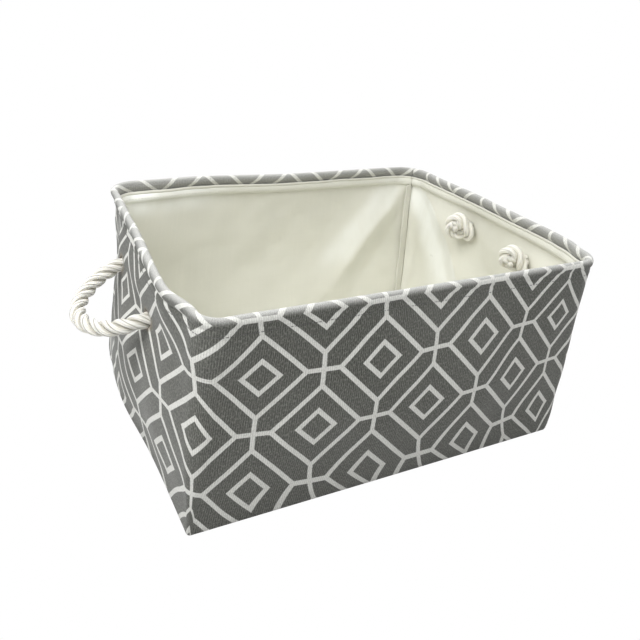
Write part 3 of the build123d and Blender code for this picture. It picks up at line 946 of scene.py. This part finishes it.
# ---------------------------------------------------------------- turned-in edges of the corner seam
heights = np.concatenate([np.arange(10.5, 180.0, 2.6), [181.5]])
across = np.linspace(0.0, 10.0, 9)
flap = np.zeros((len(heights), len(across), 3))
lean = math.radians(16.0)
for a, h in enumerate(heights):
    hx, hy, r = (float(v) for v in size_at(h))
    r = r * CORNER_ROUND[0]
    reach = (r - 2.4) * math.sin(math.radians(45))
    root = np.array([hx - r + reach, hy - r + reach, h + float(lift(0, h))])
    inwards = np.array([-math.cos(lean), -math.sin(lean), 0.0])
    side = np.array([-inwards[1], inwards[0], 0.0])
    sway = 1.1 * float(soft_noise(h, 3.0, 30.0, 61)) + 0.5 * float(soft_noise(h, 9.0, 11.0, 62))
    width = 1.0 + 0.05 * float(soft_noise(h, 5.0, 17.0, 63))
    for b, w in enumerate(across):
        k_ = (w / 10.0) ** 2
        flap[a, b] = root + inwards * (w * width) + side * (k_ * (sway - 1.2))
flap_flat = np.stack(np.meshgrid(across, heights), 2)
corner_flap = mesh_object(
    "corner_seam_edges", flap.reshape(-1, 3) * MM, grid_faces(len(heights), len(across)), {"cloth": flap_flat.reshape(-1, 2) * MM}, EDGE_MAT
)
thicken(corner_flap, 1.4 * MM, 0.0)
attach(corner_flap, "bin")
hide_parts("corner_seam_allowance")
line = flap[:, 2] + np.array([math.sin(lean), -math.cos(lean), 0.0]) * 0.72
stitch_row(
    "corner_seam_stitches", line, np.tile([math.sin(lean), -math.cos(lean), 0.0], (len(line), 1)), 4.4, 3.3, 0.3, SEAM_THREAD_MAT,
    "corner_seam_stitching", 0.2,
)


# ---------------------------------------------------------------- rim wire and its sleeve
def hoop(c):
    return [float(v) for v in wall_point(c, np.array(200.0), np.array(3.4))]


wire_line = np.array([hoop(c) for c in range(N_COL)])
wire_line[:, 2] -= 0.4
v, f, w = tube(wire_line, 1.8, 12)
wire = mesh_object("rim_wire_drawn", v * MM, f, {"strand": w * (1, MM)}, WIRE_MAT)
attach(wire, "bin")
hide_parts("rim_wire")
back = [i for i, c in enumerate(columns) if c[1] == "back"]
middle = back[len(back) // 2]
sleeve_line = wire_line[middle - 4 : middle + 5]
pinch = 1 - 0.12 * bell(np.arange(9), 2, 0.8) - 0.12 * bell(np.arange(9), 6, 0.8)
v, f, w = tube(sleeve_line, 2.3, 16, taper=pinch)
sleeve = mesh_object("rim_wire_sleeve_crimped", v * MM, f, {"strand": w * (1, MM)}, WIRE_MAT)
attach(sleeve, "bin")
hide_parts("rim_wire_sleeve")


# ---------------------------------------------------------------- three-strand rope
def spline_points(name, control, resolution):
    """Points along a smooth spline whose control points are given, metres."""
    curve = bpy.data.curves.new(name, "CURVE")
    curve.dimensions = "3D"
    spline = curve.splines.new("NURBS")
    spline.points.add(len(control) - 1)
    for point, at in zip(spline.points, control):
        point.co = (*at, 1.0)
    spline.order_u = 3
    spline.use_endpoint_u = True
    spline.resolution_u = resolution
    holder = bpy.data.objects.new(name, curve)
    scene.collection.objects.link(holder)
    bpy.context.view_layer.update()
    mesh = bpy.data.meshes.new_from_object(holder)
    points = np.array([v.co for v in mesh.vertices], float)
    bpy.data.objects.remove(holder)
    bpy.data.curves.remove(curve)
    bpy.data.meshes.remove(mesh)
    return points


def evenly(points, spacing):
    run = np.concatenate([[0], np.cumsum(np.linalg.norm(np.diff(points, axis=0), axis=1))])
    s = np.linspace(0, run[-1], max(4, int(round(run[-1] / spacing)) + 1))
    return np.stack([np.interp(s, run, points[:, k]) for k in range(3)], 1), s


def strands(name, centre, diameter, lay, phase, material, end_caps=True, squeeze=1.0):
    """Three twisted strands along a centre line, as one mesh."""
    line, run = evenly(centre, 0.0007)
    tangent = np.gradient(line, axis=0)
    tangent /= np.linalg.norm(tangent, axis=1)[:, None]
    first = np.cross(tangent[0], (0.21, 0.37, 0.9))
    first /= np.linalg.norm(first)
    normals = [first]
    for a in range(1, len(line)):
        m = normals[-1] - tangent[a] * np.dot(normals[-1], tangent[a])
        normals.append(m / np.linalg.norm(m))
    normals = np.array(normals)
    other = np.cross(tangent, normals)
    radius = diameter / 2
    small = radius * 0.48
    helix = radius - small
    verts, quads, uvs, total = [], [], [], 0
    for strand in range(3):
        turn = 2 * np.pi * (run / lay + strand / 3) + phase
        radial = np.cos(turn)[:, None] * normals + np.sin(turn)[:, None] * other
        sideways = -np.sin(turn)[:, None] * normals + np.cos(turn)[:, None] * other
        path = line + radial * helix
        sides = 18
        angle = np.linspace(0, 2 * np.pi, sides, endpoint=False)
        swell = 1 + 0.05 * soft_noise(run * 1000, 0 * run + 20 * strand + phase * 7, 6.0, 71)
        ca, sa = np.cos(angle), np.sin(angle)
        # Strands press on each other, so each is wider round the rope than through it.
        ring = (ca[None, :, None] * radial[:, None] * (small * 1.0) + sa[None, :, None] * sideways[:, None] * (small * 1.13)) * swell[:, None, None]
        v = path[:, None] + ring
        uv = np.stack(np.broadcast_arrays(angle[None, :] / (2 * np.pi), run[:, None] + 0.31 * strand), 2)
        n = len(line)
        for a in range(n - 1):
            for b in range(sides):
                d = (b + 1) % sides
                quads.append((total + a * sides + b, total + a * sides + d, total + (a + 1) * sides + d, total + (a + 1) * sides + b))
        if end_caps:
            quads.append(tuple(total + b for b in range(sides))[::-1])
            quads.append(tuple(total + (n - 1) * sides + b for b in range(sides)))
        verts.append(v.reshape(-1, 3))
        uvs.append(uv.reshape(-1, 2))
        total += n * sides
    return mesh_object(name, np.concatenate(verts), quads, {"strand": np.concatenate(uvs)}, material), line


# The loop's route across and out from the pivot line, mm, with the short way through each hole.
ROUTE = ((48.0, 0.0), (41.01, 26.08), (21.92, 45.17), (0.0, 51.05), (-21.92, 45.17), (-41.01, 26.08), (-48.0, 0.0))
DROOP = math.radians(25.0)
ropes = {}
for side_name, side in (("left", -1), ("right", 1)):
    control = []
    for across_, out_ in ROUTE:
        end = -1 if -side * across_ < 0 else 1
        hole_y, hole_z = HOLES[(side_name, end)]
        near = (across_ / HOLE_Y) ** 2
        control.append(
            (
                side * (PIVOT_X + out_ * math.cos(DROOP)) * MM,
                (-side * across_ + near * (hole_y - end * HOLE_Y)) * MM,
                (HOLE_Z - out_ * math.sin(DROOP) + near * (hole_z - HOLE_Z)) * MM,
            )
        )
    first, last = control[0], control[-1]
    control = (
        [(side * (WALL_X - 3.0) * MM, first[1], first[2])] + control + [(side * (WALL_X - 3.0) * MM, last[1], last[2])]
    )
    points = spline_points(side_name + "_route", control, 24)
    rope, path = strands(side_name + "_rope_loop", points, ROPE * MM, 0.040, 0.6, ROPE_MAT)
    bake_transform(rope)
    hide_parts(side_name + "_handle_rope")
    ropes[side_name] = (rope, path)

# ---------------------------------------------------------------- knots inside
# One overhand knot pulled tight, in rope diameters: along the hole's axis into the bin, then across.
KNOT = (
    (-1.62, 0.00, 0.00), (-1.45, 0.10, 0.03), (-1.261, 0.20, 0.074), (-0.836, 0.021, 0.099), (-0.439, -0.213, 0.28),
    (-0.122, -0.534, 0.483), (0.248, -0.861, 0.453), (0.633, -1.056, 0.212), (0.954, -1.058, -0.164),
    (1.142, -0.855, -0.575), (1.159, -0.492, -0.91), (1.01, -0.052, -1.08), (0.75, 0.366, -1.031),
    (0.455, 0.665, -0.77), (0.19, 0.771, -0.365), (-0.041, 0.774, 0.078), (-0.276, 0.757, 0.518),
    (-0.559, 0.579, 0.883), (-0.85, 0.227, 1.074), (-1.08, -0.21, 1.043), (-1.173, -0.634, 0.807),
    (-1.094, -0.948, 0.433), (-0.853, -1.081, 0.022), (-0.5, -1.007, -0.317), (-0.111, -0.755, -0.49),
    (0.238, -0.409, -0.437), (0.57, -0.136, -0.19), (0.985, 0.114, -0.087), (1.30, 0.30, -0.067), (1.55, 0.40, -0.05),
)
KNOT_X = WALL_X - 2.0 - 15.0
# Turn of each knot, and how far its middle lies out, along and up from the plain place, mm.
KNOTS = {
    ("left", -1): (0.5, 5.0, 0.0, -5.0),
    ("left", 1): (-0.8, 9.5, 0.0, -7.0),
    ("right", -1): (2.9, 5.0, -10.0, 3.0),
    ("right", 1): (2.4, 5.5, -11.0, 3.5),
}


def draw_up(knot, side, hole_y, hole_z):
    """The knot is drawn up against the lining, so none of it stands in the wall but the rope in its hole."""
    co = np.zeros(len(knot.data.vertices) * 3, np.float32)
    knot.data.vertices.foreach_get("co", co)
    co = co.reshape(-1, 3).astype(float) / MM
    face = lining_points.reshape(-1, 3)
    face = face[(side * face[:, 0] > 150) & (face[:, 2] > 105) & (face[:, 2] < 192) & (np.abs(face[:, 1]) < 95)]
    for a in np.where(side * co[:, 0] > 184)[0]:
        nearest = np.argmin((face[:, 1] - co[a, 1]) ** 2 + (face[:, 2] - co[a, 2]) ** 2)
        in_hole = math.hypot(co[a, 1] - hole_y, co[a, 2] - hole_z) < HOLE_R - 0.1
        limit = side * face[nearest, 0] + (1.6 if in_hole else -1.0)
        co[a, 0] = side * min(side * co[a, 0], limit)
    knot.data.vertices.foreach_set("co", (co * MM).astype(np.float32).ravel())
    knot.data.update()


for (side_name, end), (turn, out_, along_, up_) in KNOTS.items():
    side = -1 if side_name == "left" else 1
    control = []
    for along, a, b in KNOT:
        ya = math.cos(turn) * a - math.sin(turn) * b
        za = math.sin(turn) * a + math.cos(turn) * b
        control.append(
            (
                side * (KNOT_X + out_ - along * ROPE * 0.64) * MM,
                (end * HOLE_Y + along_ + ya * ROPE * 0.62) * MM,
                (HOLE_Z + up_ + za * ROPE * 0.82) * MM,
            )
        )
    hole_y, hole_z = HOLES[(side_name, end)]
    control[0] = (side * (WALL_X + 4.0) * MM, hole_y * MM, hole_z * MM)
    points = spline_points("knot_route", control, 16)
    knot, path = strands(f"{side_name}_{'front' if end < 0 else 'back'}_knot_tied", points, ROPE * 0.90 * MM, 0.046, 0.3 + turn, KNOT_MAT)
    draw_up(knot, side, hole_y, hole_z)
    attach(knot, "bin")
    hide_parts(f"{side_name}_{'front' if end < 0 else 'back'}_knot")
    ropes[(side_name, end)] = knot

for side_name, side in (("left", -1), ("right", 1)):
    rope, path = ropes[side_name]
    length = float(np.sum(np.linalg.norm(np.diff(path, axis=0), axis=1)))

# ---------------------------------------------------------------- floor, light and background
floor = mesh_object(
    "floor", [(-3, -3, -0.0004), (3, -3, -0.0004), (3, 3, -0.0004), (-3, 3, -0.0004)], [(0, 1, 2, 3)], {"cloth": [(0, 0), (1, 0), (1, 1), (0, 1)]}
)
floor_mat, floor_tree, floor_shader = new_material("floor")
floor_shader.inputs["Base Color"].default_value = (0.8, 0.8, 0.8, 1)
floor_shader.inputs["Roughness"].default_value = 0.9
floor.data.materials.append(floor_mat)
floor.visible_camera = False

# White sweep round the scene, seen only by the camera.
turns, tiers = 48, 24
sweep = []
for a in range(tiers + 1):
    for b in range(turns):
        lift, swing = math.pi * (a / tiers - 0.5), 2 * math.pi * b / turns
        sweep.append((8 * math.cos(lift) * math.cos(swing), 8 * math.cos(lift) * math.sin(swing), 8 * math.sin(lift)))
backdrop = mesh_object("backdrop", sweep, [f[::-1] for f in grid_faces(tiers + 1, turns, True)])
backdrop_mat, backdrop_tree, backdrop_shader = new_material("backdrop")
backdrop_shader.inputs["Base Color"].default_value = (0, 0, 0, 1)
backdrop_shader.inputs["Specular IOR Level"].default_value = 0.0
backdrop_shader.inputs["Emission Color"].default_value = (1, 1, 1, 1)
backdrop_shader.inputs["Emission Strength"].default_value = 1.0
backdrop.data.materials.append(backdrop_mat)
backdrop.visible_diffuse = backdrop.visible_glossy = backdrop.visible_transmission = False
backdrop.visible_shadow = backdrop.visible_volume_scatter = False

world = bpy.data.worlds.new("world")
scene.world = world
world.use_nodes = True
world.node_tree.nodes["Background"].inputs[0].default_value = (1.0, 1.0, 1.0, 1)
world.node_tree.nodes["Background"].inputs[1].default_value = 0.05


def area_light(name, at, towards, size, power, colour=(1, 1, 1)):
    data = bpy.data.lights.new(name, "AREA")
    data.shape, data.size, data.size_y = "RECTANGLE", size[0], size[1]
    data.energy, data.color = power, colour
    light = bpy.data.objects.new(name, data)
    light.location = at
    light.rotation_mode = "QUATERNION"
    light.rotation_quaternion = (Vector(towards) - Vector(at)).to_track_quat("-Z", "Y")
    scene.collection.objects.link(light)
    return light


area_light("key", (-0.80, -0.15, 1.05), (0, 0, 0.1), (0.7, 0.7), 13.5)
area_light("front_fill", (0, -0.80, 1.0), (0, 0, 0.1), (0.7, 0.7), 5.8)
area_light("right_fill", (1.0, 0.15, 0.75), (0, 0, 0.1), (0.7, 0.7), 6.0)
area_light("back_fill", (0, 0.80, 1.0), (0, 0, 0.1), (0.7, 0.7), 9.2)

scene.view_settings.view_transform = "Standard"
scene.view_settings.look = "None"
